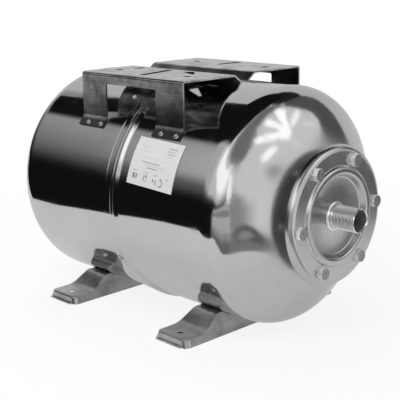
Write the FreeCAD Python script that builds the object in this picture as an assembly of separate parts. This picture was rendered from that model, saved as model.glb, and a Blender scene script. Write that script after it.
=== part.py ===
import os
from math import asin, cos, degrees, pi, radians, sin, sqrt, tan

import FreeCAD
import Part

# Horizontal pressure tank with a membrane, on two pressed feet, with two pump brackets on top.
# Millimetres. +X runs along the tank towards its port, +Z is up and the floor is z = 0.
# Lengths along the tank are first given from the middle of its straight wall, then the whole
# model is moved along X so that the origin lies under the middle of its overall length.

V = FreeCAD.Vector
X_AXIS = V(1, 0, 0)
Y_AXIS = V(0, 1, 0)
Z_AXIS = V(0, 0, 1)

# Tank body
tank_radius = 135.0
shell_wall = 1.5
straight_length = 304.0
knuckle_radius = 29.0
knuckle_end_angle = 39.0
shoulder_radius = 170.0
shoulder_end_angle = 16.0
ground_clearance = 9.2

# Seam: the front half ends in a bell that sleeves over the rear half, with a shallow groove and
# a raised bead. Each row is a distance from the bell's open end, a height and a bend radius.
bell_start = -2.0
bell_play = 0.05
bell_length = 25.6
bell_end_bend = 4.0
spigot_depth = 14.0
bell_outside = (
    (1.4, 0.0, 1.0),
    (2.8, -0.4, 1.5),
    (10.2, -0.4, 1.5),
    (11.6, 0.15, 1.0),
    (12.8, 0.15, 1.0),
    (14.8, -0.45, 1.5),
    (17.8, 1.15, 2.0),
    (20.4, 1.15, 2.5),
)
bell_inside = (
    (14.6, 0.0, 1.0),
    (17.2, 1.1, 1.0),
    (19.9, 1.1, 1.0),
)
bell_clearance = 0.3
weld_play = 0.05

# Neck and the tapped ring welded to it
neck_radius = 56.0
neck_fillet = 8.0
neck_straight = 0.8
ring_margin = 8.6
ring_thickness = 6.4
ring_step = 5.0

# Counterflange, a pressed disc
flange_overhang = 5.3
flange_sheet = 3.0
rim_depth = 7.7
rim_bend = 7.0
rib_inside_bolts = 9.9
rib_width = 7.0
rib_height = 3.3
rib_rise = 1.6
rib_bend = 3.4
dish_depth = 3.7
dish_slope = 3.5
rib_foot_bend = 1.0
dish_bend = 2.0

# Port nipple, a G 3/4 male thread
port_radius = 13.22
port_length = 33.6
port_bore_radius = 11.4
port_inner_stub = 6.0
port_chamfer = 1.1
port_mouth_chamfer = 0.5
port_weld = 3.0
port_hole_play = 0.05

# Flange bolts, M8 hexagon heads
bolt_count = 6
bolt_outside_neck = 7.4
bolt_first_angle = 24.5
bolt_radius = 3.95
bolt_thread_play = 0.05
bolt_hole_play = 0.5
bolt_head_flats = 13.0
bolt_head_height = 5.3
bolt_head_chamfer = 0.9
bolt_length = 16.0
bolt_head_twist = 17.0

# Membrane
membrane_wall = 2.0
membrane_lip_thickness = 2.0
membrane_lip_play = 1.0
membrane_neck_play = 0.4
membrane_clearance = 22.0
membrane_end_gap = 45.0

# Feet, one pressing each
foot_spacing = 202.4
foot_offset = -5.6
foot_floor_width = 54.0
foot_pad_length = 33.9
foot_sheet = 2.0
foot_side_draft = 20.0
foot_end_draft = 12.0
foot_corner = 7.0
foot_lip = 3.0
foot_lip_thickness = 1.6
pad_height = 9.0
foot_peak_height = 24.6
foot_ramp_angle = 36.0
foot_peak_length = 11.0
foot_ramp_foot_bend = 22.0
foot_ramp_top_bend = 9.0
foot_edge_round = 2.2
foot_hole_from_end = 16.0
foot_hole_radius = 4.5

# Pump brackets, folded sheet
bracket_rise = 8.8
bracket_length = 175.0
near_bracket_middle = 8.0
far_bracket_middle = -1.8
bracket_sheet = 2.0
bracket_bend = 3.5
bracket_wall_out = 101.5
bracket_leg_width = 44.0
bracket_header = 12.0
bracket_window_corner = 2.5
bracket_fold_in = 21.0
bracket_fold_angle = 38.0
bracket_fold_length = 15.0
weld_foot_length = 13.5
weld_foot_bend = 3.0
bracket_hole_radius = 4.5
bracket_hole_middle = 4.0
bracket_hole_span_x = 118.0
bracket_hole_span_y = 128.0
bracket_slot_width = 8.0
near_slots = ((4.5, 58.0, 60.0, -12.4), (-50.0, 37.0, 15.0, 0.0))
far_slots = ((-3.5, 71.5, 41.0, 0.0),)
near_opening = ((24.0, 34.5), (35.0, 27.0), (63.0, 52.0))
near_opening_corner = 2.0

# Air valve at the middle of the rear head
valve_boss_radius = 11.0
valve_boss_length = 7.0
valve_stem_radius = 3.9
valve_stem_length = 17.0
valve_hex_flats = 14.0
valve_hex_height = 4.0
valve_root_radius = 4.9
valve_root_length = 11.0
valve_thread_play = 0.05
valve_bore_radius = 2.6
valve_bore_depth = 22.0
valve_core_play = 0.1
valve_core_length = 17.0
valve_core_recess = 1.0
valve_seal_thickness = 1.5
valve_seal_radius = 8.0
valve_cap_radius = 5.6
valve_cap_length = 20.0
valve_cap_play = 0.1
valve_cap_roof = 2.5
valve_cap_grips = 12
valve_cap_grip_radius = 0.6
valve_cap_round = 1.0

# Data label
label_length = 74.0
label_height = 54.0
label_thickness = 0.3
label_play = 0.25
label_middle = 71.2
label_below_bracket = 2.9
label_turn = -2.0

# Heights and places that follow from the sizes above
axis_height = tank_radius + ground_clearance
bracket_top_height = axis_height + tank_radius + bracket_rise
foot_top_y = sqrt(tank_radius ** 2 - (axis_height - foot_peak_height) ** 2) + foot_peak_length
foot_low_y = foot_top_y + (foot_peak_height - pad_height) / tan(radians(foot_ramp_angle))
foot_length = 2 * (foot_low_y + foot_pad_length)
foot_hole_span = foot_length - 2 * foot_hole_from_end
weld_angle = asin((bracket_wall_out - bracket_sheet + weld_foot_length / 2) / tank_radius)
weld_touch_y = (tank_radius + bracket_sheet) * sin(weld_angle)
weld_top_rise = (weld_touch_y - bracket_wall_out) / cos(weld_angle)
weld_end_drop = weld_foot_length - weld_top_rise
label_drop = weld_end_drop + label_below_bracket + label_height / 2
label_angle = degrees(weld_angle + label_drop / tank_radius)
bolt_circle_radius = neck_radius + bolt_outside_neck
ring_bore_radius = neck_radius - ring_step
ring_radius = bolt_circle_radius + ring_margin
flange_radius = ring_radius + flange_overhang
rib_outer_radius = bolt_circle_radius - rib_inside_bolts
tangent_x = straight_length / 2
knuckle_centre_y = tank_radius - knuckle_radius
knee_angle = radians(knuckle_end_angle)
shoulder_centre_x = tangent_x - (shoulder_radius - knuckle_radius) * cos(knee_angle)
shoulder_centre_y = knuckle_centre_y - (shoulder_radius - knuckle_radius) * sin(knee_angle)
crown_angle = radians(shoulder_end_angle)
crown_radius = shoulder_radius + shoulder_centre_y / sin(crown_angle)
crown_centre_x = shoulder_centre_x - (crown_radius - shoulder_radius) * cos(crown_angle)
crown_apex_x = crown_centre_x + crown_radius
neck_fillet_x = crown_centre_x + sqrt((crown_radius + neck_fillet) ** 2 - (neck_radius + neck_fillet) ** 2)
neck_end_x = neck_fillet_x + neck_straight
ring_front_x = neck_end_x + ring_thickness
flange_back_x = ring_front_x + membrane_lip_thickness
flange_face_x = flange_back_x + flange_sheet
dish_face_x = flange_face_x - dish_depth
port_end_x = dish_face_x + port_length
boss_end_x = -crown_apex_x - valve_boss_length
valve_hex_x = boss_end_x - valve_seal_thickness
stem_start_x = valve_hex_x - valve_hex_height
stem_end_x = stem_start_x - valve_stem_length
cap_end_x = stem_start_x - valve_cap_length
middle_x = (port_end_x + cap_end_x) / 2


def direction(angle):
    return V(cos(angle), sin(angle), 0)


def line(start, end):
    return Part.LineSegment(start, end).toShape()


def arc(centre, radius, start_angle, end_angle):
    half = (start_angle + end_angle) / 2
    points = [centre + direction(angle) * radius for angle in (start_angle, half, end_angle)]
    return Part.Arc(*points).toShape()


# A flat path through corners, each rounded with its radius. Corners are (across, up) pairs.
def rounded_path(corners, radii):
    points = [V(across, up, 0) for across, up in corners]
    edges = []
    start = points[0]
    for before, corner, after, radius in zip(points, points[1:], points[2:], radii):
        arriving = (corner - before).normalize()
        leaving = (after - corner).normalize()
        turn = arriving.getAngle(leaving)
        if radius <= 0 or turn < 1e-6:
            edges.append(line(start, corner))
            start = corner
            continue
        reach = radius * tan(turn / 2)
        bend_start = corner - arriving * reach
        bend_end = corner + leaving * reach
        inward = (leaving - arriving).normalize()
        bend_middle = corner + inward * (radius / cos(turn / 2) - radius)
        edges.append(line(start, bend_start))
        edges.append(Part.Arc(bend_start, bend_middle, bend_end).toShape())
        start = bend_end
    edges.append(line(start, points[-1]))
    return edges


def left_of(step):
    return V(-step.y, step.x, 0).normalize()


# The corners moved sideways to the left of the path, as the far face of a bent sheet is.
def moved_left(corners, distance):
    points = [V(across, up, 0) for across, up in corners]
    steps = [after - before for before, after in zip(points, points[1:])]
    moved = [points[0] + left_of(steps[0]) * distance]
    for corner, step, next_step in zip(points[1:], steps, steps[1:]):
        middle = (left_of(step) + left_of(next_step)).normalize()
        moved.append(corner + middle * (distance / middle.dot(left_of(step))))
    moved.append(points[-1] + left_of(steps[-1]) * distance)
    return [(point.x, point.y) for point in moved]


def turns_left(before, corner, after):
    arriving = (corner[0] - before[0], corner[1] - before[1])
    leaving = (after[0] - corner[0], after[1] - corner[1])
    return arriving[0] * leaving[1] - arriving[1] * leaving[0] > 0


# The section of a sheet bent along a path. A positive thickness lies to the left of the path.
def bent_sheet(corners, radii, thickness):
    far_radii = []
    for before, corner, after, radius in zip(corners, corners[1:], corners[2:], radii):
        inside = turns_left(before, corner, after) == (thickness > 0)
        far_radii.append(radius - abs(thickness) if inside else radius + abs(thickness))
    far_corners = moved_left(corners, thickness)
    near_edges = rounded_path(corners, radii)
    far_edges = rounded_path(far_corners, far_radii)
    ends = [line(V(*corners[0], 0), V(*far_corners[0], 0)), line(V(*corners[-1], 0), V(*far_corners[-1], 0))]
    return flat_face(near_edges + far_edges + ends)


def flat_face(edges):
    return Part.Face(Part.Wire(Part.__sortEdges__(edges)))


def polygon_face(corners):
    closed = [V(across, up, 0) for across, up in corners]
    closed.append(closed[0])
    return Part.Face(Part.makePolygon(closed))


# Turns a section drawn as (x, radius) about the tank's axis.
def turned(face):
    solid = face.revolve(V(0, 0, 0), X_AXIS, 360)
    solid.translate(V(0, 0, axis_height))
    return solid


# Stands a section drawn as (y, z) up and draws it out along X.
def drawn_along_x(face, start_x, length):
    upright = face.copy()
    upright.rotate(V(0, 0, 0), X_AXIS, 90)
    upright.rotate(V(0, 0, 0), Z_AXIS, 90)
    upright.translate(V(start_x, 0, 0))
    return upright.extrude(V(length, 0, 0))


def rod(radius, start_x, end_x, y=0.0, z=0.0):
    low = min(start_x, end_x)
    return Part.makeCylinder(radius, abs(end_x - start_x), V(low, y, axis_height + z), X_AXIS)


def post(radius, x, y, low, high):
    return Part.makeCylinder(radius, high - low, V(x, y, low), Z_AXIS)


def block(low, high):
    return Part.makeBox(high[0] - low[0], high[1] - low[1], high[2] - low[2], V(*low))


def slot(radius, length, x, y, low, high):
    reach = length / 2 - radius
    ends = [post(radius, x, y - reach, low, high), post(radius, x, y + reach, low, high)]
    body = block((x - radius, y - reach, low), (x + radius, y + reach, high))
    return body.fuse(ends)


def hexagon(flats, start_x, height):
    corner = flats / sqrt(3)
    points = [V(start_x, corner * cos(k * pi / 3), corner * sin(k * pi / 3)) for k in range(7)]
    return Part.Face(Part.makePolygon(points)).extrude(V(height, 0, 0))


def only_solid(shape):
    solids = shape.removeSplitter().Solids
    if len(solids) != 1:
        raise ValueError("expected one solid, found %d" % len(solids))
    return solids[0]


# Edges of a dished head at a depth below its outer face, from the straight wall inwards: a
# knuckle, a shoulder and a crown, each tangent to the next.
def head_edges(depth, inner_edges_from):
    knuckle_centre = V(tangent_x, knuckle_centre_y, 0)
    shoulder_centre = V(shoulder_centre_x, shoulder_centre_y, 0)
    crown_centre = V(crown_centre_x, 0, 0)
    return [
        arc(knuckle_centre, knuckle_radius - depth, pi / 2, knee_angle),
        arc(shoulder_centre, shoulder_radius - depth, knee_angle, crown_angle),
        arc(crown_centre, crown_radius - depth, crown_angle, inner_edges_from),
    ]


def end_point(centre_x, radius, angle):
    return V(centre_x, 0, 0) + direction(angle) * radius


# Front half: bell, straight wall, dished head and drawn neck.
def front_edges(depth, bell_level, bell_rows):
    level = tank_radius - depth
    neck_level = neck_radius - depth
    rows = [(bell_start + along, bell_level + height) for along, height, bend in bell_rows]
    corners = [(bell_start, bell_level)] + rows + [(bell_start + bell_length, level), (tangent_x, level)]
    fillet_angle = asin((neck_radius + neck_fillet) / (crown_radius + neck_fillet))
    fillet_centre = V(neck_fillet_x, neck_radius + neck_fillet, 0)
    bends = [bend for along, height, bend in bell_rows] + [bell_end_bend - depth]
    edges = rounded_path(corners, bends)
    edges += head_edges(depth, fillet_angle)
    edges.append(arc(fillet_centre, neck_fillet + depth, pi + fillet_angle, 1.5 * pi))
    edges.append(line(V(neck_fillet_x, neck_level, 0), V(neck_end_x, neck_level, 0)))
    return edges


def make_front_shell():
    inner_level = tank_radius + bell_play
    outer_level = inner_level + shell_wall
    outer = front_edges(0, outer_level, bell_outside)
    inner = front_edges(shell_wall, inner_level, bell_inside)
    open_end = line(V(bell_start, inner_level, 0), V(bell_start, outer_level, 0))
    neck_end = line(V(neck_end_x, neck_radius, 0), V(neck_end_x, neck_radius - shell_wall, 0))
    return only_solid(turned(flat_face(outer + inner + [open_end, neck_end])))


# Rear half: plain end inside the bell, straight wall and dished head with the valve's hole.
# It is drawn facing forward and then turned round.
def make_rear_shell():
    spigot_end = -(bell_start + spigot_depth)
    hole_radius = valve_root_radius + valve_thread_play
    edges = []
    hole_points = []
    for depth in (0, shell_wall):
        level = tank_radius - depth
        hole_angle = asin(hole_radius / (crown_radius - depth))
        edges.append(line(V(spigot_end, level, 0), V(tangent_x, level, 0)))
        edges += head_edges(depth, hole_angle)
        hole_points.append(end_point(crown_centre_x, crown_radius - depth, hole_angle))
    edges.append(line(V(spigot_end, tank_radius, 0), V(spigot_end, tank_radius - shell_wall, 0)))
    edges.append(line(hole_points[0], hole_points[1]))
    solid = turned(flat_face(edges))
    solid.rotate(V(0, 0, 0), Z_AXIS, 180)
    return only_solid(solid)


# The room that the shell takes, to trim what is welded onto it.
def shell_envelope():
    highest = max(height for along, height, bend in bell_outside)
    bell_radius = tank_radius + bell_play + shell_wall + highest + bell_clearance
    bell_end = bell_start + bell_length + bell_end_bend
    body = rod(tank_radius + weld_play, -tangent_x, tangent_x)
    return body.fuse(rod(bell_radius, bell_start - bell_clearance, bell_end))


def bolt_place(index):
    angle = radians(bolt_first_angle + 360 / bolt_count * index)
    return bolt_circle_radius * sin(angle), bolt_circle_radius * cos(angle)


def bolt_holes(radius, start_x, end_x):
    return [rod(radius, start_x, end_x, *bolt_place(index)) for index in range(bolt_count)]


def make_neck_ring():
    ring = rod(ring_radius, neck_end_x, ring_front_x)
    ring = ring.cut(rod(ring_bore_radius, neck_end_x, ring_front_x))
    thread_radius = bolt_radius + bolt_thread_play
    return only_solid(ring.cut(bolt_holes(thread_radius, neck_end_x, ring_front_x)))


def make_counterflange():
    rib_inner_radius = rib_outer_radius - rib_width
    corners = [
        (flange_face_x - rim_depth, flange_radius),
        (flange_face_x, flange_radius),
        (flange_face_x, rib_outer_radius + rib_rise),
        (flange_face_x + rib_height, rib_outer_radius),
        (flange_face_x + rib_height, rib_inner_radius),
        (dish_face_x, rib_inner_radius - dish_slope),
        (dish_face_x, port_radius + port_hole_play),
    ]
    bends = [rim_bend, rib_foot_bend, rib_bend, rib_bend, dish_bend]
    disc = turned(bent_sheet(corners, bends, -flange_sheet))
    hole_radius = bolt_radius + bolt_hole_play
    return only_solid(disc.cut(bolt_holes(hole_radius, flange_back_x, flange_face_x)))


def make_port_nipple():
    inner_end = dish_face_x - flange_sheet - port_inner_stub
    weld_centre = V(dish_face_x + port_weld, port_radius + port_weld, 0)
    profile = [
        line(V(inner_end, port_bore_radius, 0), V(inner_end, port_radius, 0)),
        line(V(inner_end, port_radius, 0), V(dish_face_x, port_radius, 0)),
        line(V(dish_face_x, port_radius, 0), V(dish_face_x, port_radius + port_weld, 0)),
        arc(weld_centre, port_weld, pi, 1.5 * pi),
        line(V(dish_face_x + port_weld, port_radius, 0), V(port_end_x - port_chamfer, port_radius, 0)),
        line(V(port_end_x - port_chamfer, port_radius, 0), V(port_end_x, port_radius - port_chamfer, 0)),
        line(V(port_end_x, port_radius - port_chamfer, 0), V(port_end_x, port_bore_radius + port_mouth_chamfer, 0)),
        line(
            V(port_end_x, port_bore_radius + port_mouth_chamfer, 0),
            V(port_end_x - port_mouth_chamfer, port_bore_radius, 0),
        ),
        line(V(port_end_x - port_mouth_chamfer, port_bore_radius, 0), V(inner_end, port_bore_radius, 0)),
    ]
    return only_solid(turned(flat_face(profile)))


def make_flange_bolt(index):
    head = hexagon(bolt_head_flats, flange_face_x, bolt_head_height)
    crest = bolt_head_flats / sqrt(3)
    crown = Part.makeCone(
        crest + bolt_head_height - bolt_head_chamfer,
        crest - bolt_head_chamfer,
        bolt_head_height,
        V(flange_face_x, 0, 0),
        X_AXIS,
    )
    head = head.common(crown)
    shank = Part.makeCylinder(bolt_radius, bolt_length, V(flange_face_x - bolt_length, 0, 0), X_AXIS)
    bolt = head.fuse(shank)
    bolt.rotate(V(0, 0, 0), X_AXIS, bolt_head_twist * index)
    y, z = bolt_place(index)
    bolt.translate(V(0, y, axis_height + z))
    return only_solid(bolt)


# The bladder hangs from its lip and keeps clear of the shell all round.
def make_membrane():
    neck_level = ring_bore_radius - membrane_neck_play
    lip_level = bolt_circle_radius - bolt_radius - membrane_lip_play
    bag_level = tank_radius - membrane_clearance
    shoulder_x = tangent_x - membrane_clearance / 2
    end_x = membrane_end_gap - crown_apex_x
    corners = [
        (ring_front_x, lip_level),
        (ring_front_x, neck_level),
        (neck_fillet_x - neck_fillet, neck_level),
        (shoulder_x, bag_level),
        (end_x, bag_level),
        (end_x, 0),
    ]
    bends = [0, 6.0, 30.0, 60.0]
    lip_thickness = membrane_lip_thickness
    far = moved_left(corners[1:], membrane_wall)
    far_bends = [bends[1] + membrane_wall, bends[2] - membrane_wall, bends[3] - membrane_wall]
    near_edges = rounded_path(corners, bends)
    lip_front = ring_front_x + lip_thickness
    far_start = (lip_front, far[0][1])
    far_edges = rounded_path([far_start] + far[1:], far_bends)
    lip = [
        line(V(ring_front_x, lip_level, 0), V(lip_front, lip_level, 0)),
        line(V(lip_front, lip_level, 0), V(*far_start, 0)),
    ]
    closing = line(V(*corners[-1], 0), V(*far[-1], 0))
    return only_solid(turned(flat_face(near_edges + far_edges + lip + [closing])))


# A block with rounded plan corners whose sides and ends lean in as they rise.
def leaning_block(width, length, corner, height):
    profiles = []
    for level in (0, height):
        half_width = width / 2 - level * tan(radians(foot_side_draft))
        half_length = length / 2 - level * tan(radians(foot_end_draft))
        corners = [(-half_width, 0), (-half_width, -half_length), (half_width, -half_length)]
        corners += [(half_width, half_length), (-half_width, half_length), (-half_width, 0)]
        wire = Part.Wire(rounded_path(corners, [corner] * 4))
        wire.translate(V(0, 0, level))
        profiles.append(wire)
    return Part.makeLoft(profiles, True, True)


# The side outline of a foot's face, at a depth below its top, as (y, z) pairs with their bends.
def foot_outline(depth):
    peak = foot_peak_height - depth
    pad = pad_height - depth
    saddle_radius = tank_radius + depth
    saddle_y = sqrt(saddle_radius ** 2 - (axis_height - peak) ** 2)
    shift = depth * tan(radians(foot_ramp_angle) / 2)
    top_y = foot_top_y - shift
    low_y = foot_low_y - shift
    far_y = foot_length
    bends = [foot_ramp_top_bend - depth, foot_ramp_foot_bend + depth]
    half = rounded_path([(saddle_y, peak), (top_y, peak), (low_y, pad), (far_y, pad)], bends)
    other = rounded_path([(-saddle_y, peak), (-top_y, peak), (-low_y, pad), (-far_y, pad)], bends)
    saddle = Part.Arc(
        V(-saddle_y, peak, 0),
        V(0, axis_height - saddle_radius, 0),
        V(saddle_y, peak, 0),
    ).toShape()
    base = rounded_path([(-far_y, pad), (-far_y, -pad_height), (far_y, -pad_height), (far_y, pad)], [0, 0])
    return flat_face(half + other + [saddle] + base)


def foot_body(depth):
    half_drop = depth / cos(radians(foot_side_draft))
    end_drop = depth / cos(radians(foot_end_draft))
    width = foot_floor_width - 2 * half_drop
    length = foot_length - 2 * end_drop
    plan = leaning_block(width, length, foot_corner - depth, foot_peak_height)
    side = drawn_along_x(foot_outline(depth), -foot_floor_width, 2 * foot_floor_width)
    return plan.common(side)


# The edges along the top of a foot, between its upper faces and its leaning walls.
def foot_rim(body):
    rim = []
    for edge in body.Edges:
        box = edge.BoundBox
        along_wall = box.ZMin > pad_height - 0.5 and box.XLength < foot_floor_width / 4
        across_pad = box.ZMax < pad_height + 0.5 and box.ZMin > pad_height / 2
        if (along_wall and box.YLength > 1) or across_pad:
            rim.append(edge)
    return rim


def make_foot(x):
    outside = only_solid(foot_body(0))
    outside = outside.makeFillet(foot_edge_round, foot_rim(outside))
    foot = outside.cut(foot_body(foot_sheet))
    lip_half_width = foot_floor_width / 2 - foot_corner
    lip_end = foot_length / 2 + foot_lip
    for side in (-1, 1):
        foot = foot.cut(post(foot_hole_radius, 0, side * foot_hole_span / 2, 0, pad_height))
        lip_start = side * (foot_length / 2 - foot_sheet / 2)
        low_y, high_y = sorted((lip_start, side * lip_end))
        lip = block((-lip_half_width, low_y, 0), (lip_half_width, high_y, foot_lip_thickness))
        foot = foot.fuse(lip)
    foot.translate(V(x, 0, 0))
    return only_solid(foot)


# A bracket as it stands on the far side, from its weld foot up the wall, over the top and down.
def bracket_section():
    shell_side = tank_radius + bracket_sheet
    weld_touch = V(weld_touch_y, axis_height + shell_side * cos(weld_angle), 0)
    down = V(cos(weld_angle), -sin(weld_angle), 0)
    weld_top = weld_touch - down * weld_top_rise
    weld_end = weld_top + down * weld_foot_length
    fold = radians(bracket_fold_angle)
    fold_end = (
        bracket_fold_in - bracket_fold_length * cos(fold),
        bracket_top_height - bracket_fold_length * sin(fold),
    )
    corners = [
        (weld_end.x, weld_end.y),
        (weld_top.x, weld_top.y),
        (bracket_wall_out, bracket_top_height),
        (bracket_fold_in, bracket_top_height),
        fold_end,
    ]
    return bent_sheet(corners, [weld_foot_bend, bracket_bend, bracket_bend + bracket_sheet], bracket_sheet)


def make_bracket(middle, slots):
    bracket = drawn_along_x(bracket_section(), middle - bracket_length / 2, bracket_length)
    bracket = bracket.cut(shell_envelope())
    half_window = bracket_length / 2 - bracket_leg_width
    window_top = bracket_top_height - bracket_header
    window_low = (middle - half_window, bracket_wall_out / 2, axis_height)
    window_high = (middle + half_window, 2 * bracket_wall_out, window_top)
    window = block(window_low, window_high)
    upper_edges = []
    for edge in window.Edges:
        if edge.BoundBox.ZMin > window_top - 0.01 and edge.BoundBox.YLength > bracket_sheet:
            upper_edges.append(edge)
    bracket = bracket.cut(window.makeFillet(bracket_window_corner, upper_edges))
    low = bracket_top_height - 2 * bracket_sheet
    high = bracket_top_height + bracket_sheet
    for side in (-1, 1):
        hole_x = bracket_hole_middle + side * bracket_hole_span_x / 2
        bracket = bracket.cut(post(bracket_hole_radius, hole_x, bracket_hole_span_y / 2, low, high))
    for slot_x, slot_y, length, turn in slots:
        opening = slot(bracket_slot_width / 2, length, slot_x, slot_y, low, high)
        opening.rotate(V(slot_x, slot_y, 0), Z_AXIS, turn)
        bracket = bracket.cut(opening)
    return bracket


def make_far_bracket():
    return only_solid(make_bracket(far_bracket_middle, far_slots))


def make_near_bracket():
    bracket = make_bracket(near_bracket_middle, near_slots)
    first, second, third = near_opening
    start = ((first[0] + third[0]) / 2, (first[1] + third[1]) / 2)
    outline = flat_face(rounded_path([start, first, second, third, start], [near_opening_corner] * 3))
    outline.translate(V(0, 0, bracket_top_height - 2 * bracket_sheet))
    bracket = bracket.cut(outline.extrude(V(0, 0, 3 * bracket_sheet)))
    return only_solid(bracket).mirror(V(0, 0, 0), Y_AXIS)


def make_valve_boss():
    hole_radius = valve_root_radius + valve_thread_play
    boss = rod(valve_boss_radius, boss_end_x, -crown_apex_x + shell_wall)
    boss = boss.cut(rod(hole_radius, boss_end_x, -crown_apex_x + shell_wall))
    head = Part.makeSphere(crown_radius, V(-crown_centre_x, 0, axis_height))
    return only_solid(boss.cut(head))


def make_valve_seal():
    seal = rod(valve_seal_radius, valve_hex_x, boss_end_x)
    return only_solid(seal.cut(rod(valve_root_radius + valve_thread_play, valve_hex_x, boss_end_x)))


def make_valve_body():
    body = hexagon(valve_hex_flats, stem_start_x, valve_hex_height)
    body.translate(V(0, 0, axis_height))
    body = body.fuse([
        rod(valve_root_radius, valve_hex_x, valve_hex_x + valve_root_length),
        rod(valve_stem_radius, stem_end_x, stem_start_x),
    ])
    vent_radius = valve_bore_radius / 2
    body = body.cut(rod(valve_bore_radius, stem_end_x, stem_end_x + valve_bore_depth))
    body = body.cut(rod(vent_radius, stem_end_x, valve_hex_x + valve_root_length))
    return only_solid(body)


def make_valve_core():
    seat_x = stem_end_x + valve_core_recess
    core = rod(valve_bore_radius - valve_core_play, seat_x, seat_x + valve_core_length)
    pin = rod(valve_bore_radius / 4, stem_end_x + valve_core_play, seat_x)
    return only_solid(core.fuse(pin))


def make_valve_cap():
    inner_end = cap_end_x + valve_cap_roof
    cap = rod(valve_cap_radius, cap_end_x, stem_start_x)
    outer_rim = [edge for edge in cap.Edges if edge.BoundBox.XMax < cap_end_x + 0.01]
    cap = cap.makeFillet(valve_cap_round, outer_rim)
    cap = cap.cut(rod(valve_stem_radius + valve_cap_play, inner_end, stem_start_x))
    grips = []
    for index in range(valve_cap_grips):
        angle = 2 * pi * index / valve_cap_grips
        y = valve_cap_radius * cos(angle)
        z = valve_cap_radius * sin(angle)
        grips.append(rod(valve_cap_grip_radius, inner_end, stem_start_x, y, z))
    return only_solid(cap.cut(grips))


# The sticker follows the shell, on the near side of the front half.
def make_label():
    inside = tank_radius + label_play
    skin = rod(inside + label_thickness, -tangent_x, tangent_x).cut(rod(inside, -tangent_x, tangent_x))
    stamp = Part.makeBox(label_length, label_height, tank_radius, V(-label_length / 2, -label_height / 2, 0))
    stamp.rotate(V(0, 0, 0), Z_AXIS, label_turn)
    stamp.rotate(V(0, 0, 0), X_AXIS, label_angle)
    centre = V(label_middle, 0, axis_height)
    outward = V(0, -sin(radians(label_angle)), cos(radians(label_angle)))
    stamp.translate(centre + outward * (tank_radius / 2))
    return only_solid(skin.common(stamp))


def save(name, shape):
    placed = shape.copy()
    placed.translate(V(-middle_x, 0, 0))
    placed.exportStep("parts/" + name + ".step")
    print(name, round(placed.Volume), "mm3")


os.makedirs("parts", exist_ok=True)
save("front_shell", make_front_shell())
save("rear_shell", make_rear_shell())
save("neck_ring", make_neck_ring())
save("membrane", make_membrane())
save("counterflange", make_counterflange())
save("port_nipple", make_port_nipple())
for bolt_index in range(bolt_count):
    save("flange_bolt_%d" % (bolt_index + 1), make_flange_bolt(bolt_index))
save("front_foot", make_foot(foot_offset + foot_spacing / 2))
save("rear_foot", make_foot(foot_offset - foot_spacing / 2))
save("near_pump_bracket", make_near_bracket())
save("far_pump_bracket", make_far_bracket())
save("air_valve_boss", make_valve_boss())
save("air_valve_seal", make_valve_seal())
save("air_valve_body", make_valve_body())
save("air_valve_core", make_valve_core())
save("air_valve_cap", make_valve_cap())
save("data_label", make_label())
print("moved along X by", round(-middle_x, 3), "overall length", round(port_end_x - cap_end_x, 3))
print("flange face", round(flange_face_x - middle_x, 3), "dish face", round(dish_face_x - middle_x, 3))
print("neck end", round(neck_end_x - middle_x, 3), "port end", round(port_end_x - middle_x, 3))
print("rear crown", round(-crown_apex_x - middle_x, 3), "axis height", axis_height)
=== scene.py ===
import math

import bpy
from mathutils import Matrix, Vector


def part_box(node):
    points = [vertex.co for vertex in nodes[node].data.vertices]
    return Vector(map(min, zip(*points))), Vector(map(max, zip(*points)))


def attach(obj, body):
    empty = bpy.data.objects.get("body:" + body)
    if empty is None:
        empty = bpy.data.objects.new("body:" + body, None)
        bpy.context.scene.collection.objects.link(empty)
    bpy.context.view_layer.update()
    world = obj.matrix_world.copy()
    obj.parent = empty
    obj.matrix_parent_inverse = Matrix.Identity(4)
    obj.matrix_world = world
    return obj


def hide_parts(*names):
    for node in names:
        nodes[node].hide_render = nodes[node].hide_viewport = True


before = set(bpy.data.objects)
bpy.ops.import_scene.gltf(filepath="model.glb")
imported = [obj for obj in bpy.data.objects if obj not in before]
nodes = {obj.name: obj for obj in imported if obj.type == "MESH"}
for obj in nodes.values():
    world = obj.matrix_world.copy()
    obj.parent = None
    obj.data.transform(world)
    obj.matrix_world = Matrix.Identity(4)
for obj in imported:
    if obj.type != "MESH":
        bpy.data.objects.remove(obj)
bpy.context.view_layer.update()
scene = bpy.context.scene
mm = 0.001
mergeDistance = 1e-6  # closes the seams and poles of what the trees make

# Sizes of the tank in millimetres and degrees. Along the tank they start at the middle of its
# straight wall, which lies at "middle" in the frame.
tank = {
    "middle": -4.467,
    "axisHeight": 144.2,
    "radius": 135.0,
    "wall": 1.5,
    "straight": 304.0,
    "knuckle": 29.0,
    "knuckleEnd": 39.0,
    "shoulder": 170.0,
    "shoulderEnd": 16.0,
    "neck": 56.0,
    "neckFillet": 8.0,
    "neckStraight": 0.8,
    "valveHole": 4.95,
}
tangentX = tank["straight"] / 2
kneeAngle = math.radians(tank["knuckleEnd"])
crownAngle = math.radians(tank["shoulderEnd"])
shoulderX = tangentX - (tank["shoulder"] - tank["knuckle"]) * math.cos(kneeAngle)
shoulderR = tank["radius"] - tank["knuckle"] - (tank["shoulder"] - tank["knuckle"]) * math.sin(kneeAngle)
crown = tank["shoulder"] + shoulderR / math.sin(crownAngle)
crownX = shoulderX - (crown - tank["shoulder"]) * math.cos(crownAngle)
filletX = crownX + math.sqrt((crown + tank["neckFillet"]) ** 2 - (tank["neck"] + tank["neckFillet"]) ** 2)
neckEndX = filletX + tank["neckStraight"]
axisZ = tank["axisHeight"] * mm
middleX = tank["middle"] * mm


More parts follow.
